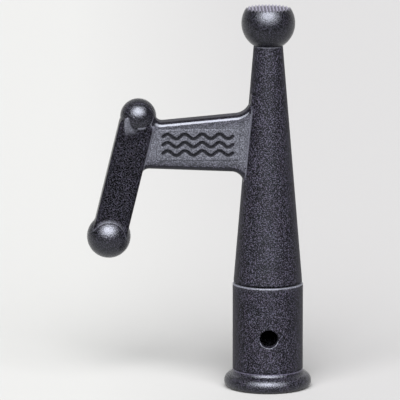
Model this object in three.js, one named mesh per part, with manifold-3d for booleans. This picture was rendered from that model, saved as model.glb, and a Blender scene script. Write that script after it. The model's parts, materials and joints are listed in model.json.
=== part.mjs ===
// Boat hook head: a tapered shaft with a side arm and a slanted hook bar, ball ends and a pole socket.
// Millimetres, +Z up. The origin is on the socket's axis at the mouth, the arm reaches towards -X and
// the socket's button hole faces -Y.

import * as THREE from 'three';
import { mergeVertices } from 'three/addons/utils/BufferGeometryUtils.js';
import Module from 'manifold-3d';

// Driving dimensions.

const gap = 0.3; // between two pieces that seat on each other
const overrun = 1; // how far a cutting shape reaches past what it cuts

const pole = { boreRadius: 13, stopHeight: 50, leadIn: 1 };
const flange = {
  radius: 24,
  widestHeight: 3.6,
  footRadius: 3.6,
  shoulderRadius: 4.8,
  filletRadius: 2.5, // where the ring flares out of the socket's wall
  seatRadius: 17,
};
const socket = { radius: 19.4, topHeight: 58.5, spigotRadius: 16.2, ledgeHeight: 52, edge: 0.6 };
const button = { height: 30.2, radius: 5, chamfer: 0.6 };
const shaft = { baseRadius: 18.95, baseHeight: 59.2, neckRadius: 8, neckHeight: 191, edge: 0.5 };
const ball = { radius: 14.75, height: 203.2, crownHeight: 211.9, stemRadius: 4.5, stemLength: 16 };
const ridge = { pitch: 1.87, depth: 1.1, count: 15 };
const bar = { halfWidth: 9.4, halfDepth: 7.6, edge: 1.8, upperStop: 2, upperCorner: 3.5 };
const upperKnob = { x: -71.3, z: 151.7, radius: 9.9 };
const lowerKnob = { x: -87.6, z: 84.9, radius: 12 };
const peg = { radius: 3.5, reach: 4 }; // on each end of the bar, in the knob's bore
const web = {
  halfDepth: 6.2,
  edge: 3.2,
  topLine: [[-60, 148.9], [-15, 153.1]],
  bottomLine: [[-66, 123.1], [-18.7, 121.2]],
  inset: 0.7, // how deep the outline's ends lie inside the shaft and the bar
  endRun: 11, // how far they follow the shaft past the arm's edges
  shaftFillet: 7,
  barFillet: 4,
  knobFillet: 5,
};
const plaque = { x: -38.7, z: 136.6, width: 46, height: 17.6, corner: 1.5, proud: 0.35 };

const roundSegments = 48;
const knobSegments = 28;
const arcSegments = 5;
const bevelSegments = 3;
const weldTolerance = 1e-4;

// Booleans on closed meshes.

const wasm = await Module();
wasm.setup();

function toSolid(geometry) {
  const bare = geometry.clone();
  bare.deleteAttribute('normal');
  bare.deleteAttribute('uv');
  const merged = mergeVertices(bare, weldTolerance);
  return new wasm.Manifold(
    new wasm.Mesh({
      numProp: 3,
      vertProperties: merged.attributes.position.array,
      triVerts: new Uint32Array(merged.index.array),
    }),
  );
}

function toGeometry(solid) {
  const mesh = solid.getMesh();
  const geometry = new THREE.BufferGeometry();
  geometry.setAttribute('position', new THREE.BufferAttribute(mesh.vertProperties, 3));
  geometry.setIndex(new THREE.BufferAttribute(mesh.triVerts, 1));
  geometry.computeVertexNormals();
  return geometry;
}

// Outlines.

/** Points [radius, height] turned about Z. The outline starts and ends on the axis or closes on itself. */
function turned(outline, segments = roundSegments) {
  const points = outline.map(([radius, height]) => new THREE.Vector2(radius, height));
  return new THREE.LatheGeometry(points, segments).rotateX(Math.PI / 2);
}

/** Points on an arc about [radius, height], from one angle to another in degrees above the horizontal. */
function arc([centreRadius, centreHeight], arcRadius, fromDegrees, toDegrees, steps = arcSegments) {
  return Array.from({ length: steps + 1 }, (_, i) => {
    const angle = THREE.MathUtils.degToRad(fromDegrees + ((toDegrees - fromDegrees) * i) / steps);
    return [centreRadius + arcRadius * Math.cos(angle), centreHeight + arcRadius * Math.sin(angle)];
  });
}

const degrees = (opposite, hypotenuse) => THREE.MathUtils.radToDeg(Math.asin(opposite / hypotenuse));

/** A closed outline through corners [x, z, fillet radius], each corner with a fillet rounded by an arc. */
function filletedShape(corners) {
  const shape = new THREE.Shape();
  const at = (i) => {
    const [x, z] = corners[(i + corners.length) % corners.length];
    return new THREE.Vector2(x, z);
  };
  corners.forEach(([, , radius = 0], i) => {
    const corner = at(i);
    const back = at(i - 1).sub(corner).normalize();
    const ahead = at(i + 1).sub(corner).normalize();
    if (radius === 0) {
      if (i === 0) shape.moveTo(corner.x, corner.y);
      else shape.lineTo(corner.x, corner.y);
      return;
    }
    const halfAngle = Math.acos(back.dot(ahead)) / 2;
    const run = radius / Math.tan(halfAngle);
    const middle = back.clone().add(ahead).normalize();
    const centre = corner.clone().addScaledVector(middle, radius / Math.sin(halfAngle));
    const startAngle = corner.clone().addScaledVector(back, run).sub(centre).angle();
    const endAngle = corner.clone().addScaledVector(ahead, run).sub(centre).angle();
    shape.absarc(centre.x, centre.y, radius, startAngle, endAngle, back.cross(ahead) > 0);
  });
  shape.closePath();
  return shape;
}

/** An outline in the XZ plane as a slab from -halfDepth to +halfDepth in Y, with its edges rounded. */
function slab(shape, halfDepth, edge = 0) {
  const geometry = new THREE.ExtrudeGeometry(shape, {
    depth: 2 * (halfDepth - edge),
    bevelEnabled: edge > 0,
    bevelThickness: edge,
    bevelSize: edge,
    bevelOffset: -edge,
    bevelSegments,
    curveSegments: arcSegments,
  });
  return geometry.translate(0, 0, edge - halfDepth).rotateX(Math.PI / 2);
}

/** Where the line through two points meets the line through two others, in the XZ plane. */
function crossing([[ax, az], [bx, bz]], [[cx, cz], [dx, dz]]) {
  const along = new THREE.Vector2(bx - ax, bz - az);
  const other = new THREE.Vector2(dx - cx, dz - cz);
  const t = new THREE.Vector2(cx - ax, cz - az).cross(other) / along.cross(other);
  return [ax + t * along.x, az + t * along.y];
}

// The hook bar's line, from the lower knob up to the upper one.

const barStart = new THREE.Vector3(lowerKnob.x, 0, lowerKnob.z);
const barEnd = new THREE.Vector3(upperKnob.x, 0, upperKnob.z);
const barAlong = barEnd.clone().sub(barStart).normalize();
const barAcross = new THREE.Vector3(barAlong.z, 0, -barAlong.x); // towards the shaft

function cylinderBetween(from, to, radius) {
  const length = from.distanceTo(to);
  const turn = new THREE.Quaternion().setFromUnitVectors(
    new THREE.Vector3(0, 1, 0),
    to.clone().sub(from).normalize(),
  );
  const middle = from.clone().add(to).multiplyScalar(0.5);
  return new THREE.CylinderGeometry(radius, radius, length, knobSegments)
    .applyQuaternion(turn)
    .translate(middle.x, middle.y, middle.z);
}

function knobSphere(knob, radius) {
  return new THREE.SphereGeometry(radius, knobSegments, knobSegments / 2)
    .rotateX(Math.PI / 2)
    .translate(knob.x, 0, knob.z);
}

// Sub-parts.

const shaftRadiusAt = (height) =>
  THREE.MathUtils.mapLinear(
    height,
    shaft.baseHeight,
    shaft.neckHeight,
    shaft.baseRadius,
    shaft.neckRadius,
  );

/** The tapered shaft, with the spigot that fits in the socket and the boss that stops the pole. */
function taperedShaft() {
  return turned([
    [0, pole.stopHeight],
    [pole.boreRadius - gap, pole.stopHeight],
    [pole.boreRadius - gap, socket.ledgeHeight],
    [socket.spigotRadius - gap, socket.ledgeHeight],
    [socket.spigotRadius - gap, shaft.baseHeight],
    [shaft.baseRadius - shaft.edge, shaft.baseHeight],
    [shaft.baseRadius, shaft.baseHeight + shaft.edge],
    [shaft.neckRadius, shaft.neckHeight],
    [0, shaft.neckHeight],
  ]);
}

/** The arm's outline: two nearly level edges, filleted into the shaft's side and the bar's edge. */
function armOutline() {
  const onShaft = (height) => [web.inset - shaftRadiusAt(height), height];
  const shaftSide = [onShaft(shaft.baseHeight), onShaft(shaft.neckHeight)];
  const edgeOffset = barAcross.clone().multiplyScalar(bar.halfWidth - web.inset);
  const onBarEdge = (point) => [point.x + edgeOffset.x, point.z + edgeOffset.z];
  const barEdge = [onBarEdge(barStart), onBarEdge(barEnd)];
  const along = (point, distance) => [point[0] + distance * barAlong.x, point[1] + distance * barAlong.z];
  const shaftBottom = crossing(web.bottomLine, shaftSide);
  const shaftTop = crossing(web.topLine, shaftSide);
  const barBottom = crossing(web.bottomLine, barEdge);
  const knobFoot = web.knobFillet * 2;
  const knobSide = upperKnob.x + upperKnob.radius + web.knobFillet / 2;
  const knobTop = crossing(web.topLine, [[knobSide, 0], [knobSide, 1]]);
  return filletedShape([
    [0, shaftBottom[1] - web.endRun],
    onShaft(shaftBottom[1] - web.endRun),
    [...shaftBottom, web.shaftFillet],
    [...barBottom, web.barFillet],
    along(barBottom, -web.endRun / 2),
    along([barBottom[0] - bar.halfWidth, barBottom[1]], -web.endRun / 2),
    [knobTop[0] - knobFoot, knobTop[1] + knobFoot],
    [...knobTop, web.knobFillet],
    [...shaftTop, web.shaftFillet],
    onShaft(shaftTop[1] + web.endRun),
    [0, shaftTop[1] + web.endRun],
  ]);
}

/** The flat bar. Its lower end is inside its knob, and its upper end stops just short of the knob there. */
function barStrip() {
  const upperEnd = barEnd.clone().addScaledVector(barAlong, -bar.upperStop);
  const corner = (end, side, radius) => {
    const point = end.clone().addScaledVector(barAcross, side * bar.halfWidth);
    return [point.x, point.z, radius];
  };
  const shape = filletedShape([
    corner(barStart, -1, 0),
    corner(barStart, 1, 0),
    corner(upperEnd, 1, bar.upperCorner),
    corner(upperEnd, -1, bar.upperCorner),
  ]);
  return slab(shape, bar.halfDepth, bar.edge);
}

/** The blank raised plaque on the arm's front. */
function plaquePad() {
  const left = plaque.x - plaque.width / 2;
  const right = plaque.x + plaque.width / 2;
  const low = plaque.z - plaque.height / 2;
  const high = plaque.z + plaque.height / 2;
  const corners = [[left, low], [right, low], [right, high], [left, high]];
  const shape = filletedShape(corners.map((corner) => [...corner, plaque.corner]));
  const halfDepth = (web.halfDepth + plaque.proud) / 2;
  return slab(shape, halfDepth).translate(0, -halfDepth, 0);
}

/** The arm and its plaque, kept clear of the upper knob. */
function trimmedArm() {
  return toSolid(slab(armOutline(), web.halfDepth, web.edge))
    .add(toSolid(plaquePad()))
    .subtract(toSolid(knobSphere(upperKnob, upperKnob.radius + gap)));
}

/** Where a bar peg ends, deep in its knob. */
const pegTip = (centre, inwards) => centre.clone().addScaledVector(barAlong, inwards * peg.reach);

/** The shaft, arm and bar in one, bored at the neck for the ball's stem and pegged for the knobs. */
function hookBody() {
  const middle = barStart.clone().lerp(barEnd, 0.5);
  const stemBore = turned([
    [0, shaft.neckHeight - ball.stemLength - gap],
    [ball.stemRadius + gap, shaft.neckHeight - ball.stemLength - gap],
    [ball.stemRadius + gap, shaft.neckHeight + overrun],
    [0, shaft.neckHeight + overrun],
  ]);
  const pegs = [[barStart, -1], [barEnd, 1]].map(([centre, outwards]) =>
    toSolid(cylinderBetween(middle, pegTip(centre, outwards), peg.radius)),
  );
  return toSolid(barStrip())
    .subtract(toSolid(knobSphere(upperKnob, upperKnob.radius + gap)))
    .subtract(toSolid(knobSphere(lowerKnob, lowerKnob.radius + gap)))
    .add(pegs[0])
    .add(pegs[1])
    .add(trimmedArm())
    .add(toSolid(taperedShaft()))
    .subtract(toSolid(stemBore));
}

/** A knob with the blind bore that takes the bar's peg. */
function knobBall(knob, centre, outwards) {
  const boreEnd = pegTip(centre, outwards).addScaledVector(barAlong, outwards * gap);
  const mouth = centre.clone().addScaledVector(barAlong, -outwards * (knob.radius + overrun));
  return toSolid(knobSphere(knob, knob.radius)).subtract(
    toSolid(cylinderBetween(mouth, boreEnd, peg.radius + gap)),
  );
}

/** The ball end: a ball cut flat at its crown and at the neck, with the stem below it. */
function ballTip() {
  const crownAngle = degrees(ball.crownHeight - ball.height, ball.radius);
  const neckHeight = shaft.neckHeight + gap;
  const neckAngle = degrees(neckHeight - ball.height, ball.radius);
  const body = turned([
    [0, shaft.neckHeight - ball.stemLength],
    [ball.stemRadius, shaft.neckHeight - ball.stemLength],
    [ball.stemRadius, neckHeight],
    ...arc([0, ball.height], ball.radius, neckAngle, crownAngle, 2 * arcSegments),
    [0, ball.crownHeight],
  ]);
  return toSolid(body).subtract(toSolid(crownGrooves()));
}

/** Vee grooves side by side across the crown, running front to back. */
function crownGrooves() {
  const left = (-ridge.count * ridge.pitch) / 2;
  const shape = new THREE.Shape();
  shape.moveTo(left, ball.crownHeight + overrun);
  for (let i = 0; i < ridge.count; i += 1) {
    shape.lineTo(left + i * ridge.pitch, ball.crownHeight);
    shape.lineTo(left + (i + 0.5) * ridge.pitch, ball.crownHeight - ridge.depth);
  }
  shape.lineTo(-left, ball.crownHeight);
  shape.lineTo(-left, ball.crownHeight + overrun);
  shape.closePath();
  return slab(shape, ball.radius);
}

const shoulderToFillet = flange.shoulderRadius + flange.filletRadius;
const filletOffset = socket.radius + flange.filletRadius - flange.radius + flange.shoulderRadius;
const flangeTop = flange.widestHeight + Math.sqrt(shoulderToFillet ** 2 - filletOffset ** 2);

/** The sleeve that takes the pole, stepped at its foot for the flange and bored at its top for the spigot. */
function poleSocket() {
  const footHeight = 2 * gap;
  const sleeve = turned([
    [pole.boreRadius, footHeight + pole.leadIn],
    [pole.boreRadius + pole.leadIn, footHeight],
    [flange.seatRadius - gap, footHeight],
    [flange.seatRadius - gap, flangeTop + gap],
    [socket.radius, flangeTop + gap],
    [socket.radius, socket.topHeight - socket.edge],
    [socket.radius - socket.edge, socket.topHeight],
    [socket.spigotRadius, socket.topHeight],
    [socket.spigotRadius, socket.ledgeHeight - gap],
    [pole.boreRadius, socket.ledgeHeight - gap],
    [pole.boreRadius, footHeight + pole.leadIn],
  ]);
  return toSolid(sleeve).subtract(toSolid(buttonHole()));
}

/** The hole for the pole's spring button, through the front wall only, chamfered at its outer rim. */
function buttonHole() {
  const outside = socket.radius + overrun;
  const rim = button.radius + button.chamfer;
  const hole = turned(
    [
      [0, 0],
      [button.radius, 0],
      [button.radius, socket.radius - button.chamfer],
      [rim, socket.radius],
      [rim, outside],
      [0, outside],
    ],
    knobSegments,
  );
  return hole.rotateX(Math.PI / 2).translate(0, 0, button.height);
}

/** The rounded ring round the socket's mouth, which the head stands on. */
function baseFlange() {
  const footCentre = [flange.radius - flange.footRadius, flange.widestHeight];
  const shoulderCentre = [flange.radius - flange.shoulderRadius, flange.widestHeight];
  const filletCentre = [socket.radius + flange.filletRadius, flangeTop];
  const joinAngle = degrees(flangeTop - flange.widestHeight, shoulderToFillet);
  const ring = turned([
    [flange.seatRadius, 0],
    ...arc(footCentre, flange.footRadius, -90, 0),
    ...arc(shoulderCentre, flange.shoulderRadius, 0, joinAngle).slice(1),
    ...arc(filletCentre, flange.filletRadius, 180 + joinAngle, 180).slice(1),
    [flange.seatRadius, flangeTop],
    [flange.seatRadius, 0],
  ]);
  return toSolid(ring);
}

// Materials and the finished object.

const grained = { color: 0x2b2b30, roughness: 0.62, metalness: 0 };
const smooth = { color: 0x26262b, roughness: 0.38, metalness: 0 };

function part(name, solid, finish) {
  const mesh = new THREE.Mesh(toGeometry(solid), new THREE.MeshStandardMaterial(finish));
  mesh.name = name;
  return mesh;
}

const hookHead = new THREE.Group();
hookHead.name = 'boat_hook_head';
hookHead.add(
  part('hook_body', hookBody(), grained),
  part('ball_tip', ballTip(), smooth),
  part('upper_knob', knobBall(upperKnob, barEnd, 1), smooth),
  part('lower_knob', knobBall(lowerKnob, barStart, -1), smooth),
  part('pole_socket', poleSocket(), grained),
  part('base_flange', baseFlange(), smooth),
);

export default hookHead;
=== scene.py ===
"""A boat hook head in charcoal moulded plastic, standing on its pole socket on a pale studio floor.

Metres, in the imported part's frame: +Z up the shaft, the arm towards -X, the button hole and the arm's
plaque facing -Y. The hook body is one flowing moulding, so it is made as a distance field and meshed.
The other pieces are turned on a lathe and cut.
"""

import json
import math

import bmesh
import bpy
import numpy as np
from mathutils import Matrix, Vector


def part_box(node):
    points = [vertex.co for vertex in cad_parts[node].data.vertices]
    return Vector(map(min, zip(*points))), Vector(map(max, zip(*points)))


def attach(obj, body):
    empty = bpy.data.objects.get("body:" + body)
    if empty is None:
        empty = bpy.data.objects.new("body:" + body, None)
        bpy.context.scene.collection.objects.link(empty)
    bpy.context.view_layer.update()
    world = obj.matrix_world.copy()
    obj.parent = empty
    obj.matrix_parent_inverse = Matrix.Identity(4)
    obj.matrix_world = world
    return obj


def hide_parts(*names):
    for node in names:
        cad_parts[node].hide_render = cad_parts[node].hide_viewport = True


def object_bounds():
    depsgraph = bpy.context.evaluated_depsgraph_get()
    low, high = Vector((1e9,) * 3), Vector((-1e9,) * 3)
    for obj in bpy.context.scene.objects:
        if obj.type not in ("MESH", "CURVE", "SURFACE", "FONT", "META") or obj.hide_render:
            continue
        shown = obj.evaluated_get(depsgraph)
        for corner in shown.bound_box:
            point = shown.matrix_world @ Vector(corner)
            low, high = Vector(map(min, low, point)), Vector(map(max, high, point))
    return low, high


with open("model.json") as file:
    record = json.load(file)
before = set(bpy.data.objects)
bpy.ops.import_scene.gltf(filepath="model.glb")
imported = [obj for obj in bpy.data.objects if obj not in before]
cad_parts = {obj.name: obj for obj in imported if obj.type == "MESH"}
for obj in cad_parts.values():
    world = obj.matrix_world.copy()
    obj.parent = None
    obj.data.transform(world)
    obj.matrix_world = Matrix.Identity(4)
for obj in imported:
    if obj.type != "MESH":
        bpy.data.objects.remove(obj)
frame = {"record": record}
cad_low, cad_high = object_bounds()

MM = 0.001

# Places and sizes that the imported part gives.

body_low, body_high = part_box("hook_body")
ball_low, ball_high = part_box("ball_tip")
socket_low, socket_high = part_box("pole_socket")
flange_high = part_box("base_flange")[1]
mounts = {mount["name"]: mount for mount in frame["record"]["mounts"]}


def knob_place(node, bar_is_below):
    """A knob's centre and radius. The bar's bore shortens its box, so the far side gives its height."""
    low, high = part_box(node)
    radius = (high.x - low.x) / 2
    height = high.z - radius if bar_is_below else low.z + radius
    return Vector(((low.x + high.x) / 2, 0, height)), radius


UPPER_KNOB, UPPER_RADIUS = knob_place("upper_knob", bar_is_below=True)
LOWER_KNOB, LOWER_RADIUS = knob_place("lower_knob", bar_is_below=False)
BAR_LENGTH = (UPPER_KNOB - LOWER_KNOB).length
ALONG_BAR = (UPPER_KNOB - LOWER_KNOB) / BAR_LENGTH
ACROSS_BAR = Vector((ALONG_BAR.z, 0, -ALONG_BAR.x))

# Driving dimensions that the boxes don't give.

GAP = 0.3 * MM  # between neighbours
BORE_RADIUS = mounts["pole_socket"]["dims"]["r_mm"] * MM
STOP_HEIGHT = body_low.z
NECK_HEIGHT = body_high.z
NECK_RADIUS = 8 * MM
NECK_EDGE = 0.35 * MM
SHAFT_RADIUS = body_high.x
SHAFT_LOW = socket_high.z + 0.7 * MM
SHAFT_EDGE = 0.5 * MM
SPIGOT_RADIUS = 15.9 * MM
LEDGE_HEIGHT = STOP_HEIGHT + 2 * MM

ARM_HALF_DEPTH = 6.2 * MM
ARM_EDGE = 3.2 * MM
ARM_TOP = [(-60 * MM, 148.9 * MM), (-15 * MM, 153.1 * MM)]
ARM_BOTTOM = [(-66 * MM, 123.1 * MM), (-18.7 * MM, 121.2 * MM)]
ARM_MIDDLE = 137 * MM
ARM_REACH = 28 * MM
ARM_INSET = 0.7 * MM
SHAFT_FILLET = 7 * MM
BAR_FILLET = 4 * MM
KNOB_FILLET = 4.5 * MM
CREASE = 1.0 * MM  # the small fillet where the arm's face meets the shaft and the bar
CREASE_START = 4 * MM  # how far out from the middle it begins
CREASE_FULL = 5.6 * MM

BAR_HALF_WIDTH = 9.4 * MM
BAR_HALF_DEPTH = 7.6 * MM
BAR_EDGE = 1.8 * MM
BAR_CORNER = 3.5 * MM
BAR_STOP = 2 * MM
COLLAR_INSET = 0.3 * MM
COLLAR_FILLET = 1.4 * MM
SEAT_DEPTH = 1.2 * MM  # how far the body reaches in under a knob's surface
PEG_RADIUS = 3.5 * MM
PEG_REACH = 4 * MM
# The pad's sides, from the upper knob's middle.
PAD = {"left": -7.9 * MM, "right": 2 * MM, "top": 0.6 * MM, "bottom": -10.5 * MM}
PAD_DEPTH_TOP = 8.5 * MM
PAD_EDGE = 1.0 * MM

BALL_HEIGHT = 203.2 * MM
BALL_RADIUS = 14.75 * MM
STEM_RADIUS = 4.5 * MM
RIDGE_PITCH = 1.87 * MM
RIDGE_DEPTH = 1.3 * MM
RIDGE_COUNT = 15
RIDGE_ROUND = 0.18 * MM

BUTTON_HEIGHT = 30.2 * MM
BUTTON_RADIUS = 5 * MM
BUTTON_ROUND = 0.6 * MM
SOCKET_LIP = (0.35 * MM, 0.6 * MM)  # the bevel round the socket's top: inwards and down
BORE_LEAD = 1 * MM

FOOT_HEIGHT = 3.6 * MM
FOOT_ROUND = 3.6 * MM
SHOULDER_ROUND = 4.8 * MM
FLANGE_FILLET = 2.5 * MM
SEAT_RADIUS = 17 * MM

PLAQUE = {"x": -38.7 * MM, "z": 136.6 * MM, "width": 46 * MM, "height": 17.6 * MM}
PLAQUE_CORNER = 1.5 * MM
PLAQUE_PROUD = 0.35 * MM
WAVE = {"lines": 3, "spacing": 4.6 * MM, "length": 38 * MM, "swing": 1.3 * MM, "period": 9.5 * MM}
WAVE_HALF_WIDTH = 1.0 * MM
WAVE_DEPTH = 0.6 * MM
POCKET_DEPTH = 0.8 * MM
POCKET_INSET = 1 * MM

GRID = 0.65 * MM  # the cells that the hook body is meshed on
REFINEMENTS = 6
TOUCHING = 0.05 * MM  # a point this near a surface counts as on it

# The studio, in metres and degrees. Azimuth 0 is straight in front, and a positive one is to the right.

PAPER_REACH = 8
PAPER_FRONT = -0.42
KEY_AZIMUTHS = {"key_left": -18, "key_right": 14}
KEY_ELEVATION = 40
KEY_SPREAD = 50
KEY_STRENGTH = 8
CAMERA_AZIMUTH = -1.4
CAMERA_ELEVATION = 10.6
CAMERA_DISTANCE = 3.7
CAMERA_WIDTH = 0.22
CAMERA_AIM = Vector((0.4, 0, -1.15)) * MM
SENSOR_WIDTH = 36  # millimetres

# Finishes, and the painted highlights and shade. Three greys are a grain's darkest, middle and lightest
# specks. A tint multiplies them.

LAVENDER = (1.0, 0.92, 1.35)
SLATE = (0.96, 0.98, 1.18)
SHEEN = (0.84, 0.87, 1.0)
GRAINED_GREYS = (0, 0.001, 0.036)
BAR_GREYS = (0, 0, 0.02)
FACE_GREYS = (0.018, 0.038, 0.075)
# A painted highlight on the pad beside the upper knob.
PAD_HIGHLIGHT_GREYS = (0.035, 0.048, 0.065)
# The socket's pale rims: from use, with a painted highlight; on the button hole's lower rim a painted
# highlight only.
RIM_WEAR_AND_HIGHLIGHT_GREYS = (0.05, 0.07, 0.1)
# Pale rim tops, partly from use and partly a painted highlight.
WORN_AND_LIT_GREYS = (0.12, 0.15, 0.18)
# The pressed lines' floors, painted dark as the shade in the grooves.
PRESSED_SHADE_GREYS = (0, 0.001, 0.006)
POLISHED_GREYS = (0, 0.003, 0.01)
# Painted highlight lines along the arm's creases with the shaft and the bar.
SEAM_HIGHLIGHT_GREY = 0.1
# A painted highlight on the bar's edges by the knobs and round the shaft's top edge.
LIP_HIGHLIGHT_GREY = 0.07
# Painted shade in the valleys between the crown's ridges.
VALLEY_SHADE_GREY = 0.004
GRAIN_SIZE = 0.45 * MM
GRAIN_DEPTH = 0.12 * MM
GRAINED_GLOSS = 0.15
POLISHED_GLOSS = 0.42

# Shapes as distance fields: negative inside, in metres.


def round_union(a, b, radius):
    """Joins two fields with a concave fillet."""
    corner = np.hypot(np.maximum(radius - a, 0), np.maximum(radius - b, 0))
    return np.maximum(radius, np.minimum(a, b)) - corner


def round_meet(a, b, radius):
    """Keeps what two fields share, with the edge between them rounded."""
    corner = np.hypot(np.maximum(radius + a, 0), np.maximum(radius + b, 0))
    return np.minimum(-radius, np.maximum(a, b)) + corner


def smoothstep(low, high, value):
    t = np.clip((value - low) / (high - low), 0, 1)
    return t * t * (3 - 2 * t)


def fading(start, end, value):
    """One up to the start, and zero past the end."""
    return 1 - smoothstep(start, end, value)


def above_line(line, x, z):
    """Distance above the line through two (x, z) points, the first on the left."""
    (x0, z0), (x1, z1) = line
    length = math.hypot(x1 - x0, z1 - z0)
    return ((z - z0) * (x1 - x0) - (x - x0) * (z1 - z0)) / length


def bar_place(x, z):
    """How far along the bar from the lower knob, and how far across it towards the shaft."""
    from_x = x - LOWER_KNOB.x
    from_z = z - LOWER_KNOB.z
    along = from_x * ALONG_BAR.x + from_z * ALONG_BAR.z
    across = from_x * ACROSS_BAR.x + from_z * ACROSS_BAR.z
    return along, across


def shaft_radius(z):
    slope = (SHAFT_RADIUS - NECK_RADIUS) / (NECK_HEIGHT - SHAFT_LOW)
    return NECK_RADIUS + slope * (NECK_HEIGHT - z)


def shaft_field(x, y, z):
    """The tapered shaft with its spigot and pole stop, bored for the ball's stem."""
    radius = np.hypot(x, y)
    cone = round_meet(radius - shaft_radius(z), z - NECK_HEIGHT, NECK_EDGE)
    cone = round_meet(cone, SHAFT_LOW - z, SHAFT_EDGE)
    root = z - SHAFT_LOW - SHAFT_EDGE * 2
    spigot = np.maximum(np.maximum(radius - SPIGOT_RADIUS, LEDGE_HEIGHT - z), root)
    stop = np.maximum(np.maximum(radius - BORE_RADIUS + GAP, STOP_HEIGHT - z), root)
    bore = np.maximum(radius - STEM_RADIUS - GAP, ball_low.z - GAP - z)
    return np.maximum(np.minimum(np.minimum(cone, spigot), stop), -bore)


def arm_outline(x, z):
    """The arm seen from the front, filleted into the shaft's side, the bar's edge and the upper knob."""
    along, across = bar_place(x, z)
    strip = np.maximum(above_line(ARM_TOP, x, z), -above_line(ARM_BOTTOM, x, z))
    shaft_side = ARM_INSET - shaft_radius(z) - x
    bar_side = np.maximum(across - BAR_HALF_WIDTH + ARM_INSET, along - BAR_LENGTH + 3 * BAR_STOP)
    knob = np.hypot(x - UPPER_KNOB.x, z - UPPER_KNOB.z) - UPPER_RADIUS + ARM_INSET
    outline = round_union(strip, shaft_side, SHAFT_FILLET)
    outline = round_union(outline, bar_side, BAR_FILLET)
    outline = round_union(outline, knob, KNOB_FILLET)
    outline = np.maximum(outline, np.abs(z - ARM_MIDDLE) - ARM_REACH)
    return np.maximum(outline, np.maximum(x, -across - BAR_HALF_WIDTH / 2))


def arm_field(x, y, z):
    return round_meet(arm_outline(x, z), np.abs(y) - ARM_HALF_DEPTH, ARM_EDGE)


def ball_field(x, y, z, centre, radius):
    return np.sqrt((x - centre.x) ** 2 + y**2 + (z - centre.z) ** 2) - radius


def bar_field(x, y, z):
    """The flat bar, ending inside the lower knob and just short of the upper knob's middle."""
    along, across = bar_place(x, z)
    outline = round_meet(np.abs(across) - BAR_HALF_WIDTH, along - BAR_LENGTH + BAR_STOP, BAR_CORNER)
    outline = np.maximum(outline, -along)
    return round_meet(outline, np.abs(y) - BAR_HALF_DEPTH, BAR_EDGE)


def pad_field(x, y, z):
    """The pad that stands proud of the bar beside the upper knob, sloping back down into the bar's face."""
    from_x = x - UPPER_KNOB.x
    from_z = z - UPPER_KNOB.z
    slope = (PAD_DEPTH_TOP - BAR_HALF_DEPTH) / (PAD["top"] - PAD["bottom"])
    face = np.abs(y) - PAD_DEPTH_TOP - slope * (from_z - PAD["top"])
    sides = round_meet(PAD["left"] - from_x, from_x - PAD["right"], PAD_EDGE)
    sides = round_meet(sides, from_z - PAD["top"], 1.5 * PAD_EDGE)
    return np.maximum(round_meet(sides, face, PAD_EDGE), PAD["bottom"] - from_z)


def collared_bar_field(x, y, z):
    """The bar with the small fillets that seat its two knobs, and the pad beside the upper one."""
    bar = bar_field(x, y, z)
    for centre, radius in ((UPPER_KNOB, UPPER_RADIUS), (LOWER_KNOB, LOWER_RADIUS)):
        bar = round_union(bar, ball_field(x, y, z, centre, radius - COLLAR_INSET), COLLAR_FILLET)
    return round_union(bar, pad_field(x, y, z), PAD_EDGE)


def peg_field(x, y, z):
    """The pegs at the bar's ends, in the knobs' bores."""
    along, across = bar_place(x, z)
    rod = np.hypot(across, y) - PEG_RADIUS
    return np.maximum(rod, np.abs(along - BAR_LENGTH / 2) - BAR_LENGTH / 2 - PEG_REACH)


def pocket_field(x, y, z):
    """The shallow pocket in the arm's front that the plaque's shell sits in."""
    across = np.abs(x - PLAQUE["x"]) - PLAQUE["width"] / 2 + POCKET_INSET
    up = np.abs(z - PLAQUE["z"]) - PLAQUE["height"] / 2 + POCKET_INSET
    return np.maximum(np.maximum(across, up), y + ARM_HALF_DEPTH - POCKET_DEPTH)


def body_field(x, y, z):
    """The whole hook body: shaft, arm and bar in one moulding."""
    crease = CREASE * smoothstep(CREASE_START, CREASE_FULL, np.abs(y))
    body = round_union(shaft_field(x, y, z), arm_field(x, y, z), crease)
    body = round_union(body, collared_bar_field(x, y, z), crease)
    body = np.maximum(body, -pocket_field(x, y, z))
    for centre, radius in ((UPPER_KNOB, UPPER_RADIUS), (LOWER_KNOB, LOWER_RADIUS)):
        body = np.maximum(body, -ball_field(x, y, z, centre, radius - SEAT_DEPTH))
    return np.minimum(body, peg_field(x, y, z))


def gradient(field, points, step=0.01 * MM, least=0.2):
    """The field's unit gradient at each point, and its length, which is kept above the least."""
    columns = []
    for axis in range(3):
        shift = np.zeros(3)
        shift[axis] = step
        ahead = field(*(points + shift).T)
        behind = field(*(points - shift).T)
        columns.append((ahead - behind) / (2 * step))
    slope = np.stack(columns, axis=1)
    size = np.linalg.norm(slope, axis=1, keepdims=True)
    return slope / np.maximum(size, 1e-9), np.maximum(size[:, 0], least)


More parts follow.
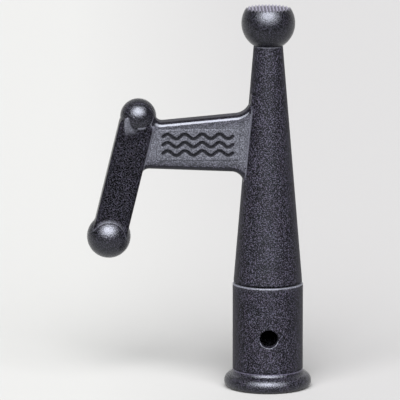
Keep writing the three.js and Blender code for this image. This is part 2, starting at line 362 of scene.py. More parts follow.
def surface_net(field, low, high, spacing):
    """Vertices and quads on the field's zero surface: one vertex in each cell that the surface crosses.

    The low and high corners have to enclose the whole surface.
    """
    axes = [np.arange(low[i] - spacing, high[i] + 2 * spacing, spacing) for i in range(3)]
    inside = field(*np.meshgrid(*axes, indexing="ij", sparse=True)) < 0
    corners = sum(
        inside[i : i - 1 or None, j : j - 1 or None, k : k - 1 or None].astype(np.int8)
        for i in (0, 1)
        for j in (0, 1)
        for k in (0, 1)
    )
    cells = np.argwhere((corners > 0) & (corners < 8))
    number = np.full(corners.shape, -1)
    number[tuple(cells.T)] = np.arange(len(cells))
    points = np.stack([axes[i][cells[:, i]] + spacing / 2 for i in range(3)], axis=1)
    for _ in range(REFINEMENTS):
        normals, size = gradient(field, points)
        step = field(*points.T) / size
        points -= normals * np.clip(step, -spacing, spacing)[:, None]
    quads = []
    for axis in range(3):
        ahead = np.moveaxis(inside, axis, 0)
        changes = np.argwhere(ahead[1:] != ahead[:-1])
        leaving = ahead[1:][tuple(changes.T)] < ahead[:-1][tuple(changes.T)]
        ring = np.moveaxis(number, axis, 0)
        a, b, c = changes.T
        corner_cells = [ring[a, b - 1, c - 1], ring[a, b, c - 1], ring[a, b, c], ring[a, b - 1, c]]
        quad = np.stack(corner_cells, axis=1)
        inward = leaving == (axis == 1)
        quad[inward] = quad[inward][:, ::-1]
        quads.append(quad)
    return points, np.concatenate(quads)


# Meshes.


def add_object(name, mesh):
    piece = bpy.data.objects.new(name, mesh)
    bpy.context.scene.collection.objects.link(piece)
    return piece


def closed_object(name, mesh):
    """Turns the mesh of a closed body into an object, with its faces outwards."""
    bmesh.ops.recalc_face_normals(mesh, faces=mesh.faces)
    data = bpy.data.meshes.new(name)
    mesh.to_mesh(data)
    mesh.free()
    return add_object(name, data)


def bridge(mesh, ring, following):
    """Faces between two rings of points. A point on the axis, which fills its ring, is used once."""
    for i in range(len(ring)):
        j = (i + 1) % len(ring)
        corners = [ring[i], ring[j], following[j], following[i]]
        mesh.faces.new(list(dict.fromkeys(corners)))


def rounded(corners, steps=5):
    """Points along an outline of (a, b, round) corners, each corner with a round turned into an arc."""
    points = []
    count = len(corners)
    for i, (a, b, radius) in enumerate(corners):
        corner = Vector((a, b))
        if radius == 0:
            points.append((a, b))
            continue
        back = (Vector(corners[i - 1][:2]) - corner).normalized()
        ahead = (Vector(corners[(i + 1) % count][:2]) - corner).normalized()
        half = back.angle(ahead) / 2
        centre = corner + (back + ahead).normalized() * (radius / math.sin(half))
        start = corner + back * (radius / math.tan(half)) - centre
        end = corner + ahead * (radius / math.tan(half)) - centre
        turn = start.angle_signed(end)
        for step in range(steps + 1):
            angle = -turn * step / steps
            spoke = Matrix.Rotation(angle, 2) @ start
            points.append(tuple(centre + spoke))
    return points


def arc(centre, radius, start, end, steps):
    """Points on an arc about (a, b), between two angles in degrees."""
    angles = np.radians(np.linspace(start, end, steps + 1))
    return [(centre[0] + radius * math.cos(t), centre[1] + radius * math.sin(t)) for t in angles]


def turned(name, outline, segments, closed=False):
    """A body turned about Z from (radius, height) points. An open outline starts and ends on the axis."""
    mesh = bmesh.new()
    rings = []
    for radius, height in outline:
        if radius < 1e-7:
            rings.append([mesh.verts.new((0, 0, height))] * segments)
            continue
        angles = [2 * math.pi * i / segments for i in range(segments)]
        rings.append([mesh.verts.new((radius * math.cos(t), radius * math.sin(t), height)) for t in angles])
    pairs = list(zip(rings, rings[1:] + rings[:1])) if closed else list(zip(rings, rings[1:]))
    for ring, following in pairs:
        bridge(mesh, ring, following)
    return closed_object(name, mesh)


def cut(piece, cutter):
    """Subtracts the cutter from the piece and removes the cutter."""
    modifier = piece.modifiers.new("cut", "BOOLEAN")
    modifier.object = cutter
    modifier.solver = "EXACT"
    graph = bpy.context.evaluated_depsgraph_get()
    data = bpy.data.meshes.new_from_object(piece.evaluated_get(graph))
    piece.modifiers.clear()
    piece.data = data
    bpy.data.objects.remove(cutter)


def smooth_shade(piece, sharp_degrees=32):
    piece.data.shade_smooth()
    piece.data.set_sharp_from_angle(angle=math.radians(sharp_degrees))


def finish_piece(piece, node, materials):
    """Gives a piece its materials and ties it to the frame."""
    for material in materials:
        piece.data.materials.append(material)
    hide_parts(node)
    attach(piece, "root")


# The plaque on the arm's front, as a height field with three wave lines pressed into it.


def wave_distance(x, z):
    """Distance to the nearest of the wave lines."""
    along = np.linspace(-WAVE["length"] / 2, WAVE["length"] / 2, 160)
    swing = WAVE["swing"] * np.sin(2 * math.pi * along / WAVE["period"])
    nearest = np.full(x.shape, 1.0)
    for line in range(WAVE["lines"]):
        level = PLAQUE["z"] + (line - (WAVE["lines"] - 1) / 2) * WAVE["spacing"]
        for dx, dz in zip(along, swing):
            nearest = np.minimum(nearest, np.hypot(x - PLAQUE["x"] - dx, z - level - dz))
    return nearest


def plaque_height(x, z, distance):
    """How far the plaque stands out of the arm's face, below zero beyond its rounded outline."""
    over_x = np.abs(x - PLAQUE["x"]) - PLAQUE["width"] / 2
    over_z = np.abs(z - PLAQUE["z"]) - PLAQUE["height"] / 2
    outline = round_meet(over_x, over_z, PLAQUE_CORNER)
    rim = np.clip(outline / (0.6 * MM) + 1, 0, 2)
    height = PLAQUE_PROUD * (1 - rim**2)
    groove = 1 - smoothstep(WAVE_HALF_WIDTH - 0.22 * MM, WAVE_HALF_WIDTH + 0.18 * MM, distance)
    return height - WAVE_DEPTH * groove


def plaque_grid(spacing=0.26 * MM):
    """The plaque's closed shell: points, faces, and which faces lie in a pressed line."""
    margin = 0.4 * MM
    half_x = PLAQUE["width"] / 2 + margin
    half_z = PLAQUE["height"] / 2 + margin
    xs = np.linspace(PLAQUE["x"] - half_x, PLAQUE["x"] + half_x, round(2 * half_x / spacing) + 1)
    zs = np.linspace(PLAQUE["z"] - half_z, PLAQUE["z"] + half_z, round(2 * half_z / spacing) + 1)
    x, z = np.meshgrid(xs, zs, indexing="ij")
    distance = wave_distance(x, z)
    y = -ARM_HALF_DEPTH - plaque_height(x, z, distance)
    front = np.stack([x, y, z], axis=-1).reshape(-1, 3)
    number = np.arange(front.shape[0]).reshape(x.shape)
    face_corners = [number[:-1, :-1], number[1:, :-1], number[1:, 1:], number[:-1, 1:]]
    faces = np.stack(face_corners, axis=-1).reshape(-1, 4)
    pressed = (distance < WAVE_HALF_WIDTH + 0.1 * MM).ravel()[faces].all(axis=1)
    edge = np.concatenate([number[:, 0], number[-1, 1:], number[-2::-1, -1], number[0, -2:0:-1]])
    back = front[edge] * [1, 0, 1] - [0, ARM_HALF_DEPTH / 2, 0]
    middle = [[PLAQUE["x"], -ARM_HALF_DEPTH / 2, PLAQUE["z"]]]
    points = np.concatenate([front, back, middle])
    back_number = np.arange(len(edge)) + len(front)
    following = np.roll(back_number, -1)
    skirt = np.stack([np.roll(edge, -1), edge, back_number, following], axis=1)
    cap = np.stack([following, back_number, np.full(len(edge), len(points) - 1)], axis=1)
    return points, faces.tolist() + skirt.tolist() + cap.tolist(), pressed


# Pieces.


def hook_body(materials):
    """The shaft, arm and bar from the distance field, with the plaque's shell let into the arm."""
    low = (LOWER_KNOB.x - LOWER_RADIUS, -SHAFT_RADIUS, STOP_HEIGHT)
    points, quads = surface_net(body_field, low, (SHAFT_RADIUS, SHAFT_RADIUS, NECK_HEIGHT), GRID)
    normals, _ = gradient(body_field, points)
    plaque_points, plaque_faces, pressed = plaque_grid()
    plaque_faces = [[i + len(points) for i in face] for face in plaque_faces]
    data = bpy.data.meshes.new("hook_body_plastic")
    data.from_pydata(np.concatenate([points, plaque_points]).tolist(), [], quads.tolist() + plaque_faces)
    data.shade_smooth()
    data.update()
    body_normals = [tuple(normal) for normal in normals]
    plaque_normals = [tuple(vertex.normal) for vertex in data.vertices[len(points):]]
    data.normals_split_custom_set_from_vertices(body_normals + plaque_normals)
    piece = add_object("hook_body_plastic", data)
    rim = write_zones(data, points, normals)
    finish_piece(piece, "hook_body", materials)
    slots = np.zeros(len(data.polygons), dtype=np.int32)
    slots[: len(quads)] = 2 * (rim[quads].mean(axis=1) > 0.5)
    # The pressed lines' floors take the material with their painted shade.
    slots[len(quads) : len(quads) + len(pressed)] = pressed
    data.polygons.foreach_set("material_index", slots)


def pad_highlight_zone(x, y, z, facing):
    """The pad's face, where a highlight is painted, fading out at its foot and towards the shaft."""
    zone = fading(TOUCHING, 0.4 * MM, np.abs(pad_field(x, y, z)))
    zone = zone * smoothstep(0.6, 0.95, facing)
    zone = zone * smoothstep(PAD["bottom"], PAD["bottom"] + 4 * MM, z - UPPER_KNOB.z)
    return zone * fading(-4.5 * MM, 1 * MM, x - UPPER_KNOB.x)


def seam_highlight_zone(x, y, z):
    """The painted highlight lines where the arm's face meets the shaft and the bar, fading past the arm's
    edges.
    """
    side = np.minimum(np.abs(shaft_field(x, y, z)), np.abs(collared_bar_field(x, y, z)))
    joint = side + np.abs(arm_field(x, y, z))
    beyond = np.maximum(above_line(ARM_TOP, x, z), -above_line(ARM_BOTTOM, x, z))
    return fading(0.3 * MM, 0.85 * MM, joint) * fading(0, 5 * MM, beyond)


def lip_highlight_zone(x, y, z):
    """The painted highlight on the bar's edges: faintly round the lower knob, and on the upper knob's low
    side to the right.
    """
    lower = np.abs(ball_field(x, y, z, LOWER_KNOB, LOWER_RADIUS))
    upper = np.abs(ball_field(x, y, z, UPPER_KNOB, UPPER_RADIUS)) + np.maximum(UPPER_KNOB.x - x, 0)
    upper = upper + np.maximum(z - UPPER_KNOB.z + UPPER_RADIUS / 2, 0)
    return fading(0.1 * MM, 0.5 * MM, np.minimum(lower + 0.28 * MM, upper))


def write_zones(data, points, normals):
    """Stores which finish or painted highlight each point has, for the material to read, and returns the
    polished edges.

    The plaque's points come after the given ones, and count as the arm's face.
    """
    x, y, z = points.T
    facing = np.abs(normals[:, 1])
    on_arm = fading(TOUCHING, 0.3 * MM, np.abs(arm_field(x, y, z)))
    flat = smoothstep(0.965, 0.99, facing)
    # The arm face's pale tone is full towards the middle of the arm and falls to under half near its outline.
    toward_middle = smoothstep(3 * MM, 8 * MM, -arm_outline(x, z))
    in_front = smoothstep(4.4 * MM, 5 * MM, np.abs(y))
    # The shaft's top edge, where a highlight line is painted.
    neck = smoothstep(NECK_HEIGHT - 0.9 * MM, NECK_HEIGHT - 0.6 * MM, z)
    zones = {
        "face": on_arm * flat * (0.45 + 0.55 * toward_middle),
        # painted highlight on the pad beside the upper knob
        "pad": pad_highlight_zone(x, y, z, facing),
        # painted highlight on the bar's edges by the knobs and round the shaft's top edge
        "lip_highlight": np.maximum(neck, lip_highlight_zone(x, y, z) * in_front),
        "rim": on_arm * (1 - flat) * smoothstep(0.1, 0.25, facing),
        "bar": fading(TOUCHING, 0.4 * MM, collared_bar_field(x, y, z)),
        # painted highlight lines along the arm's creases
        "seam_highlight": seam_highlight_zone(x, y, z) * in_front,
    }
    for name, values in zones.items():
        layer = np.full(len(data.vertices), float(name == "face"))
        layer[: len(values)] = values
        write_layer(data, name, layer)
    return zones["rim"]


def write_layer(data, name, values, domain="POINT"):
    layer = data.attributes.new(name, "FLOAT", domain)
    layer.data.foreach_set("value", values.astype(np.float32))


def mark_rim(data, above, fade, pale_strength=1, around_hole=False):
    """Marks the pale rims, partly from use and partly a painted highlight: the points above a height, fading
    below it, and the button hole's lower rim, where only a highlight is painted.
    """
    points = np.array([vertex.co for vertex in data.vertices])
    worn_and_lit = pale_strength * smoothstep(above - fade, above, points[:, 2])
    if around_hole:
        distance = np.hypot(points[:, 0], points[:, 2] - BUTTON_HEIGHT)
        inside = distance > BUTTON_RADIUS + 0.05 * BUTTON_ROUND
        outside = distance < BUTTON_RADIUS + 0.5 * BUTTON_ROUND
        lower = points[:, 2] < BUTTON_HEIGHT - BUTTON_RADIUS / 4
        in_front = points[:, 1] < -BORE_RADIUS
        worn_and_lit = np.maximum(worn_and_lit, inside & outside & lower & in_front)
    write_layer(data, "rim", worn_and_lit)


def ball_tip(material):
    """The ball end: a ball cut flat at the crown and the neck, with its stem and the crown's ridges."""
    neck = NECK_HEIGHT + GAP
    neck_angle = math.degrees(math.asin((neck - BALL_HEIGHT) / BALL_RADIUS))
    crown_angle = math.degrees(math.asin((ball_high.z - BALL_HEIGHT) / BALL_RADIUS))
    outline = [(0, ball_low.z), (STEM_RADIUS, ball_low.z), (STEM_RADIUS, neck)]
    outline += arc((0, BALL_HEIGHT), BALL_RADIUS, neck_angle, crown_angle, 36)
    outline += [(0, ball_high.z)]
    piece = turned("ball_tip_plastic", outline, 144)
    cut(piece, ridge_cutter())
    smooth_shade(piece)
    ridged = [on_ridges(face) for face in piece.data.polygons]
    # The crown's ridges are marked for pale tops, from use and a painted highlight, and painted shade in
    # their valleys.
    write_layer(piece.data, "rim", np.array(ridged), "FACE")
    finish_piece(piece, "ball_tip", [material])


def on_ridges(face):
    """Whether a face of the ball is one of the crown's ridges, which run from front to back."""
    return abs(face.normal.y) < 0.05 and face.center.z > ball_high.z - 1.1 * RIDGE_DEPTH


def ridge_cutter():
    """A comb of vee grooves with rounded tips, running front to back over the crown."""
    top = ball_high.z
    left = -RIDGE_COUNT * RIDGE_PITCH / 2
    corners = [(left - RIDGE_PITCH, top + 1 * MM, 0), (left - RIDGE_PITCH, top - RIDGE_DEPTH, 0)]
    for i in range(RIDGE_COUNT + 1):
        corners.append((left + i * RIDGE_PITCH, top - 0.05 * MM, RIDGE_ROUND))
        corners.append((left + (i + 0.5) * RIDGE_PITCH, top - RIDGE_DEPTH, RIDGE_ROUND))
    corners.append((-left + RIDGE_PITCH, top + 1 * MM, 0))
    points = rounded(corners, 3)
    mesh = bmesh.new()
    ends = []
    for y in (-BALL_RADIUS, BALL_RADIUS):
        ends.append([mesh.verts.new((x, y, z)) for x, z in points])
    front, back = ends
    bridge(mesh, front, back)
    mesh.faces.new(front)
    mesh.faces.new(back)
    return closed_object("ridge_cutter", mesh)


def knob(node, centre, radius, outwards, material):
    """A ball with the blind bore that takes the bar's peg, turned about the bar's line."""
    bore = PEG_RADIUS + GAP
    mouth_angle = math.degrees(math.acos(bore / radius))
    outline = [(0, PEG_REACH + GAP), (bore, PEG_REACH + GAP)]
    outline += arc((0, 0), radius, -mouth_angle, 90, 56)
    outline[-1] = (0, radius)
    piece = turned(node + "_plastic", outline, 112)
    turn = Vector((0, 0, 1)).rotation_difference(ALONG_BAR * outwards).to_matrix().to_4x4()
    piece.data.transform(Matrix.Translation(centre) @ turn)
    smooth_shade(piece)
    finish_piece(piece, node, [material])


def pole_socket(material):
    """The sleeve that takes the pole, stepped for the flange and the spigot, with the button hole."""
    outer = socket_high.x
    seat = SEAT_RADIUS - GAP
    step = flange_high.z + GAP
    lip_in, lip_down = SOCKET_LIP
    wall = [(outer, z, 0) for z in np.arange(step + 1.5 * MM, socket_high.z - 2 * MM, 1.5 * MM)]
    outline = rounded(
        [
            (BORE_RADIUS, socket_low.z + BORE_LEAD, 0.3 * MM),
            (BORE_RADIUS + BORE_LEAD, socket_low.z, 0.3 * MM),
            (seat, socket_low.z, 0.2 * MM),
            (seat, step, 0),
            (outer, step, 0.25 * MM),
            *wall,
            (outer, socket_high.z - lip_down, 0.3 * MM),
            (outer - lip_in, socket_high.z, 0.12 * MM),
            (SPIGOT_RADIUS + GAP, socket_high.z, 0.2 * MM),
            (SPIGOT_RADIUS + GAP, LEDGE_HEIGHT - GAP, 0),
            (BORE_RADIUS, LEDGE_HEIGHT - GAP, 0),
        ]
    )
    piece = turned("pole_socket_plastic", outline, 180, closed=True)
    cut(piece, button_cutter(outer))
    smooth_shade(piece)
    # The top rim is pale from use and painted with a highlight; the button hole's lower rim has a painted
    # highlight.
    mark_rim(piece.data, socket_high.z - lip_down, 0.1 * MM, around_hole=True)
    finish_piece(piece, "pole_socket", [material])


def button_cutter(outer):
    """The button hole as a plug whose flared end follows the round wall, for an evenly rounded rim."""
    rim = [(BUTTON_RADIUS + BUTTON_ROUND * (1 - math.cos(t)), BUTTON_ROUND * (1 - math.sin(t)))
           for t in np.linspace(0, math.pi / 2, 7)]
    profile = [(BUTTON_RADIUS, outer)] + rim + [(BUTTON_RADIUS + BUTTON_ROUND * 1.2, -1 * MM)]
    segments = 72
    mesh = bmesh.new()
    rings = []
    for radius, depth in profile:
        ring = []
        for i in range(segments):
            angle = 2 * math.pi * i / segments
            x = radius * math.cos(angle)
            y = depth - math.sqrt(outer**2 - x**2) if depth < outer else -BORE_RADIUS / 2
            ring.append(mesh.verts.new((x, y, BUTTON_HEIGHT + radius * math.sin(angle))))
        rings.append(ring)
    for ring, following in zip(rings, rings[1:]):
        bridge(mesh, ring, following)
    mesh.faces.new(rings[0])
    mesh.faces.new(rings[-1])
    return closed_object("button_cutter", mesh)


def base_flange(material):
    """The rounded ring round the socket's mouth, which the head stands on."""
    outer = flange_high.x
    rise = flange_high.z - FOOT_HEIGHT
    join_angle = math.degrees(math.asin(rise / (SHOULDER_ROUND + FLANGE_FILLET)))
    foot_centre = (outer - FOOT_ROUND, FOOT_HEIGHT)
    shoulder_centre = (outer - SHOULDER_ROUND, FOOT_HEIGHT)
    fillet_centre = (socket_high.x + FLANGE_FILLET, flange_high.z)
    outline = [(SEAT_RADIUS, 0)]
    outline += arc(foot_centre, FOOT_ROUND, -90, 0, 14)
    outline += arc(shoulder_centre, SHOULDER_ROUND, 0, join_angle, 16)[1:]
    outline += arc(fillet_centre, FLANGE_FILLET, 180 + join_angle, 180, 8)[1:]
    outline += [(SEAT_RADIUS, flange_high.z)]
    piece = turned("base_flange_plastic", outline, 180, closed=True)
    smooth_shade(piece)
    # A faint pale line round the flange's top, from use and a painted highlight.
    mark_rim(piece.data, flange_high.z - 0.5 * MM, 0.3 * MM, pale_strength=0.2)
    finish_piece(piece, "base_flange", [material])


# Materials.


class Nodes:
    """Short ways to add and link shader nodes in one material."""

    def __init__(self, name):
        self.material = bpy.data.materials.new(name)
        self.material.use_nodes = True
        self.tree = self.material.node_tree
        self.shader = self.tree.nodes["Principled BSDF"]
        self.place = self.add("ShaderNodeTexCoord").outputs["Object"]

    def add(self, kind, **settings):
        node = self.tree.nodes.new(kind)
        for name, value in settings.items():
            setattr(node, name, value)
        return node

    def link(self, source, target):
        self.tree.links.new(source, target)

    def feed(self, value, target):
        """Links an output to a socket, or sets the socket to a number or an RGB colour."""
        if isinstance(value, bpy.types.NodeSocket):
            self.link(value, target)
        elif isinstance(value, tuple):
            target.default_value = (*value, 1)
        else:
            target.default_value = value

    def noise(self, size, detail=3, roughness=0.55, stretch=(1, 1, 1)):
        """Noise whose features are about size across, turned so that no flat face lies in its lattice."""
        mapping = self.add("ShaderNodeMapping")
        mapping.inputs["Rotation"].default_value = (0.5, 0.3, 0.2)
        mapping.inputs["Scale"].default_value = stretch
        node = self.add("ShaderNodeTexNoise")
        node.inputs["Scale"].default_value = 1 / size
        node.inputs["Detail"].default_value = detail
        node.inputs["Roughness"].default_value = roughness
        self.link(self.place, mapping.inputs["Vector"])
        self.link(mapping.outputs["Vector"], node.inputs["Vector"])
        return node.outputs["Fac"]

    def remap(self, value, low, high, to_low, to_high):
        node = self.add("ShaderNodeMapRange")
        node.inputs["From Min"].default_value = low
        node.inputs["From Max"].default_value = high
        node.inputs["To Min"].default_value = to_low
        node.inputs["To Max"].default_value = to_high
        self.link(value, node.inputs["Value"])
        return node.outputs["Result"]

    def math(self, operation, a, b=0):
        node = self.add("ShaderNodeMath", operation=operation)
        self.feed(a, node.inputs[0])
        self.feed(b, node.inputs[1])
        return node.outputs["Value"]

    def ramp(self, value, stops):
        """A colour ramp with (position, colour) stops."""
        node = self.add("ShaderNodeValToRGB")
        elements = node.color_ramp.elements
        while len(elements) < len(stops):
            elements.new(0.5)
        for element, (position, colour) in zip(elements, stops):
            element.position = position
            element.color = (*colour, 1)
        self.link(value, node.inputs["Fac"])
        return node.outputs["Color"]

    def blend(self, data_type, socket_type, factor, a, b, blend_type="MIX"):
        node = self.add("ShaderNodeMix", data_type=data_type, blend_type=blend_type)
        self.feed(factor, node.inputs["Factor"])
        for name, value in (("A", a), ("B", b)):
            matching = [s for s in node.inputs if s.name == name and s.type == socket_type]
            self.feed(value, matching[0])
        return [s for s in node.outputs if s.type == socket_type][0]

    def mix(self, factor, a, b, blend_type="MIX"):
        """A mix of two colours."""
        return self.blend("RGBA", "RGBA", factor, a, b, blend_type)

    def mix_value(self, factor, a, b):
        """A mix of two numbers."""
        return self.blend("FLOAT", "VALUE", factor, a, b)

    def bump(self, height, distance, strength, after=None):
        """Bump whose height of 1 is the distance, on top of an earlier bump."""
        node = self.add("ShaderNodeBump")
        node.inputs["Distance"].default_value = distance
        self.feed(strength, node.inputs["Strength"])
        self.link(height, node.inputs["Height"])
        if after is not None:
            self.link(after, node.inputs["Normal"])
        return node.outputs["Normal"]

    def attribute(self, name):
        return self.add("ShaderNodeAttribute", attribute_name=name).outputs["Fac"]

    def axis(self, name):
        """The place along one of the frame's axes."""
        split = self.add("ShaderNodeSeparateXYZ")
        self.link(self.place, split.inputs["Vector"])
        return split.outputs[name]


def parting_line(nodes):
    """A fine raised line where the mould's halves met, in the plane between front and back."""
    distance = nodes.math("ABSOLUTE", nodes.axis("Y"))
    return nodes.remap(distance, 0, 0.25 * MM, 1, 0)


def tinted(grey, tint):
    return tuple(grey * channel for channel in tint)


class Grain:
    """A fine pebbled grain: low domes for the bump, and a close speckle of tone over a broad mottle."""

    def __init__(self, nodes):
        cells = nodes.add("ShaderNodeTexVoronoi")
        cells.inputs["Scale"].default_value = 1 / GRAIN_SIZE
        nodes.link(nodes.place, cells.inputs["Vector"])
        speckle = nodes.noise(1.3 * GRAIN_SIZE, 1, 0.5)
        broad = nodes.noise(9 * MM, 3, 0.6)
        self.nodes = nodes
        self.hue = cells.outputs["Color"]
        self.height = nodes.remap(cells.outputs["Distance"], 0, 0.8, 1, 0)
        fine = nodes.remap(speckle, 0.36, 0.64, 0, 1)
        mottle = nodes.remap(broad, 0.3, 0.7, -0.06, 0.06)
        self.tone = nodes.math("ADD", fine, mottle)

    def colour(self, greys, tint=LAVENDER):
        """Colour that goes from the darkest specks to the lightest, most of them near the middle."""
        dark, middle, light = greys
        stops = [(0.2, tinted(dark, tint)), (0.55, tinted(middle, tint)), (1, tinted(light, tint))]
        return self.nodes.ramp(self.tone, stops)

    def varied(self, colour):
        """A colour with a slight change of hue from grain to grain."""
        return self.nodes.mix(0.15, colour, self.hue, "MULTIPLY")

    def roughness(self, low, high):
        return self.nodes.remap(self.tone, 0, 1, low, high)


def grained_normal(nodes, grain, strength):
    """The grain's bump, with the parting line over it."""
    normal = nodes.bump(grain.height, GRAIN_DEPTH, strength)
    return nodes.bump(parting_line(nodes), GRAIN_DEPTH, 0.7, normal)


def set_gloss(nodes, level):
    nodes.shader.inputs["Specular IOR Level"].default_value = level
    nodes.shader.inputs["Specular Tint"].default_value = (*SHEEN, 1)


def socket_plastic():
    """Charcoal plastic with a fine pebbled grain, pale and smooth on the mouth's rims: the top rim pale from
    use and with a painted highlight, the button hole's lower rim a painted highlight.
    """
    nodes = Nodes("pole_socket_plastic")
    grain = Grain(nodes)
    rim = nodes.attribute("rim")
    colour = grain.varied(grain.colour(GRAINED_GREYS))
    # Pale rims: from use, and a painted highlight.
    colour = nodes.mix(rim, colour, grain.colour(RIM_WEAR_AND_HIGHLIGHT_GREYS, SLATE))
    nodes.link(colour, nodes.shader.inputs["Base Color"])
    nodes.link(nodes.mix_value(rim, grain.roughness(0.42, 0.58), 0.3), nodes.shader.inputs["Roughness"])
    set_gloss(nodes, GRAINED_GLOSS)
    strength = nodes.mix_value(rim, 0.8, 0.1)
    nodes.link(grained_normal(nodes, grain, strength), nodes.shader.inputs["Normal"])
    return nodes.material


def body_plastic():
    """The hook body's plastic: grained on the shaft, blacker on the bar, chalky on the arm's face, with
    painted highlights on the pad, along the arm's creases, on the bar's edges by the knobs and round the
    neck.
    """
    nodes = Nodes("hook_body_plastic")
    grain = Grain(nodes)
    face = nodes.attribute("face")
    bar = nodes.attribute("bar")
    colour = grain.varied(nodes.mix(bar, grain.colour(GRAINED_GREYS), grain.colour(BAR_GREYS)))
    colour = nodes.mix(face, colour, grain.colour(FACE_GREYS, SLATE))
    # Painted highlight on the pad beside the upper knob.
    colour = nodes.mix(nodes.attribute("pad"), colour, grain.colour(PAD_HIGHLIGHT_GREYS, SLATE))
    # Painted highlight lines along the arm's creases.
    colour = nodes.mix(nodes.attribute("seam_highlight"), colour, tinted(SEAM_HIGHLIGHT_GREY, SLATE))
    # Painted highlight on the bar's edges by the knobs and round the shaft's top edge.
    colour = nodes.mix(nodes.attribute("lip_highlight"), colour, tinted(LIP_HIGHLIGHT_GREY, SLATE))
    nodes.link(colour, nodes.shader.inputs["Base Color"])
    roughness = nodes.mix_value(bar, grain.roughness(0.42, 0.58), grain.roughness(0.26, 0.38))
    roughness = nodes.mix_value(face, roughness, grain.roughness(0.55, 0.68))
    nodes.link(roughness, nodes.shader.inputs["Roughness"])
    set_gloss(nodes, GRAINED_GLOSS)
    strength = nodes.mix_value(face, nodes.mix_value(bar, 0.8, 0.5), 0.35)
    nodes.link(grained_normal(nodes, grain, strength), nodes.shader.inputs["Normal"])
    return nodes.material


def polished_edge():
    """The arm's rounded edges: the same plastic, polished by the mould."""
    nodes = Nodes("polished_edge")
    grain = Grain(nodes)
    flow = nodes.noise(3 * MM, 2, 0.5)
    nodes.link(grain.colour(POLISHED_GREYS), nodes.shader.inputs["Base Color"])
    nodes.link(grain.roughness(0.16, 0.24), nodes.shader.inputs["Roughness"])
    set_gloss(nodes, POLISHED_GLOSS)
    normal = nodes.bump(flow, 0.1 * MM, 0.3, nodes.bump(grain.height, 0.03 * MM, 0.3))
    nodes.link(normal, nodes.shader.inputs["Normal"])
    return nodes.material


def smooth_plastic(name, grey, roughness, gloss, crests=None):
    """Satin plastic with fine pebbling, faint flow marks and a few scuffs, pale on its marked rim, partly
    from use and partly a painted highlight.

    Crests are the heights between which the marked rim goes from its dark valleys, painted shade, to its pale
    tops.
    """
    nodes = Nodes(name)
    grain = Grain(nodes)
    flow = nodes.noise(5 * MM, 2, 0.5)
    scuffs = nodes.noise(2 * MM, 2, 0.5, stretch=(0.25, 1, 2.5))
    scuffed = nodes.remap(scuffs, 0.62, 0.72, 0, 1)
    rim = nodes.attribute("rim")
    colour = grain.varied(grain.colour((0, grey, grey * 16)))
    colour = nodes.mix(nodes.math("MULTIPLY", scuffed, 0.3), colour, tinted(grey * 8, LAVENDER))
    worn_and_lit = grain.colour(WORN_AND_LIT_GREYS)
    # Valleys darken as painted shade, tops go pale.
    if crests:
        height = nodes.remap(nodes.axis("Z"), *crests, 0, 1)
        worn_and_lit = nodes.mix(height, tinted(VALLEY_SHADE_GREY, SLATE), worn_and_lit)
    colour = nodes.mix(rim, colour, worn_and_lit)
    nodes.link(colour, nodes.shader.inputs["Base Color"])
    dull = grain.roughness(roughness * 0.85, roughness * 1.15)
    rough = nodes.math("ADD", dull, nodes.math("MULTIPLY", scuffed, 0.06))
    nodes.link(rough, nodes.shader.inputs["Roughness"])
    set_gloss(nodes, gloss)
    normal = nodes.bump(grain.height, GRAIN_DEPTH, 0.55)
    normal = nodes.bump(flow, GRAIN_DEPTH, 0.25, normal)
    normal = nodes.bump(parting_line(nodes), 0.1 * MM, 0.6, normal)
    nodes.link(normal, nodes.shader.inputs["Normal"])
    return nodes.material


def pressed_shade_plastic():
    """The floor of the plaque's pressed lines: satin, and painted dark as the shade in the grooves."""
    nodes = Nodes("pressed_lines_shade")
    grain = Grain(nodes)
    nodes.link(grain.colour(PRESSED_SHADE_GREYS), nodes.shader.inputs["Base Color"])
    nodes.link(grain.roughness(0.4, 0.55), nodes.shader.inputs["Roughness"])
    set_gloss(nodes, GRAINED_GLOSS)
    nodes.link(nodes.bump(grain.height, 0.1 * MM, 0.5), nodes.shader.inputs["Normal"])
    return nodes.material


def paper():
    """Pale matt backdrop paper with a faint tooth, with painted shade that deepens its tone a little towards
    the right.
    """
    nodes = Nodes("backdrop_paper")
    tooth = nodes.noise(3 * MM, 3, 0.6)
    # Painted shade: the paper's tone deepens a little towards the right.
    across = nodes.remap(nodes.axis("X"), cad_low.x, cad_high.x, 0, 1)
    tone = nodes.ramp(across, [(0, (0.250, 0.250, 0.247)), (1, (0.217, 0.215, 0.216))])
    fleck = nodes.ramp(tooth, [(0.3, (0.98, 0.98, 0.98)), (0.7, (1, 1, 1))])
    nodes.link(nodes.mix(1, tone, fleck, "MULTIPLY"), nodes.shader.inputs["Base Color"])
    nodes.link(nodes.remap(tooth, 0.3, 0.7, 0.85, 0.95), nodes.shader.inputs["Roughness"])
    nodes.shader.inputs["Specular IOR Level"].default_value = 0.1
    nodes.link(nodes.bump(tooth, 0.05 * MM, 0.3), nodes.shader.inputs["Normal"])
    return nodes.material


# The studio.


def direction(azimuth, elevation):
    """Unit vector from the object towards an azimuth and elevation in degrees."""
    turn = math.radians(azimuth)
    rise = math.radians(elevation)
    return Vector((math.sin(turn) * math.cos(rise), -math.cos(turn) * math.cos(rise), math.sin(rise)))


def look_along(item, line):
    """Turns a camera or light to face along a line."""
    item.rotation_euler = line.to_track_quat("-Z", "Y").to_euler()


def floor():
    """A wide sheet of paper that ends a little in front, so that the object's front reflects a dim room."""
    mesh = bmesh.new()
    left, right = -PAPER_REACH, PAPER_REACH
    corners = [(left, PAPER_FRONT), (right, PAPER_FRONT), (right, PAPER_REACH), (left, PAPER_REACH)]
    mesh.faces.new([mesh.verts.new((x, y, 0)) for x, y in corners])
    data = bpy.data.meshes.new("studio_floor")
    mesh.to_mesh(data)
    mesh.free()
    piece = add_object("studio_floor", data)
    data.materials.append(paper())


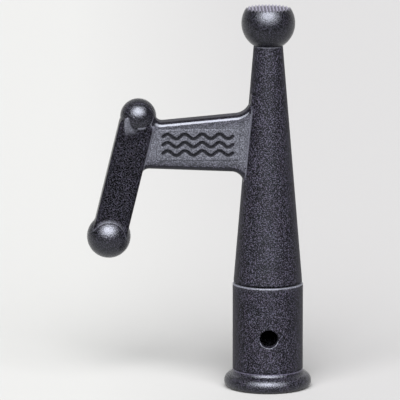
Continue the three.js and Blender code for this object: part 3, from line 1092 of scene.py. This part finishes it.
def broad_key(name, azimuth):
    """Half of the main light: a broad distant source in front and above, spread wide for soft edges."""
    light = bpy.data.lights.new(name, "SUN")
    light.angle = math.radians(KEY_SPREAD)
    light.energy = KEY_STRENGTH
    lamp = add_object(name, light)
    look_along(lamp, -direction(azimuth, KEY_ELEVATION))


def pale_world():
    """Pale surroundings: bright where the camera sees them. As a light, bright behind and dim elsewhere."""
    world = bpy.data.worlds.new("studio")
    bpy.context.scene.world = world
    world.use_nodes = True
    tree = world.node_tree
    toward = tree.nodes.new("ShaderNodeTexCoord")
    split = tree.nodes.new("ShaderNodeSeparateXYZ")
    behind = tree.nodes.new("ShaderNodeMapRange")
    behind.inputs["From Min"].default_value = 0
    behind.inputs["From Max"].default_value = 1
    behind.inputs["To Min"].default_value = 0.1
    behind.inputs["To Max"].default_value = 0.9
    rays = tree.nodes.new("ShaderNodeLightPath")
    seen = tree.nodes.new("ShaderNodeMix")
    seen.data_type = "FLOAT"
    seen.inputs["B"].default_value = 0.8
    background = tree.nodes["Background"]
    background.inputs["Color"].default_value = (1, 1, 0.99, 1)
    tree.links.new(toward.outputs["Generated"], split.inputs["Vector"])
    tree.links.new(split.outputs["Y"], behind.inputs["Value"])
    tree.links.new(rays.outputs["Is Camera Ray"], seen.inputs["Factor"])
    tree.links.new(behind.outputs["Result"], seen.inputs["A"])
    tree.links.new(seen.outputs["Result"], background.inputs["Strength"])


def camera():
    """A long lens about ten degrees above level, a little to the left of straight in front."""
    away = direction(CAMERA_AZIMUTH, CAMERA_ELEVATION)
    data = bpy.data.cameras.new("camera")
    data.sensor_width = SENSOR_WIDTH
    data.lens = SENSOR_WIDTH * CAMERA_DISTANCE / CAMERA_WIDTH
    view = add_object("camera", data)
    target = (cad_low + cad_high) / 2 + CAMERA_AIM
    view.location = target + away * CAMERA_DISTANCE
    look_along(view, -away)
    bpy.context.scene.camera = view


def main():
    scene = bpy.context.scene
    scene.view_settings.view_transform = "Standard"
    crown = (ball_high.z - RIDGE_DEPTH, ball_high.z)
    satin = smooth_plastic("smooth_plastic_ball", grey=0.001, roughness=0.28, gloss=0.46, crests=crown)
    glossy = smooth_plastic("smooth_plastic_knobs", grey=0.001, roughness=0.25, gloss=0.57)
    foot = smooth_plastic("smooth_plastic_foot", grey=0.0015, roughness=0.29, gloss=0.44)
    hook_body([body_plastic(), pressed_shade_plastic(), polished_edge()])
    ball_tip(satin)
    knob("upper_knob", UPPER_KNOB, UPPER_RADIUS, outwards=1, material=glossy)
    knob("lower_knob", LOWER_KNOB, LOWER_RADIUS, outwards=-1, material=glossy)
    pole_socket(socket_plastic())
    base_flange(foot)
    floor()
    for name, azimuth in KEY_AZIMUTHS.items():
        broad_key(name, azimuth)
    pale_world()
    camera()


main()
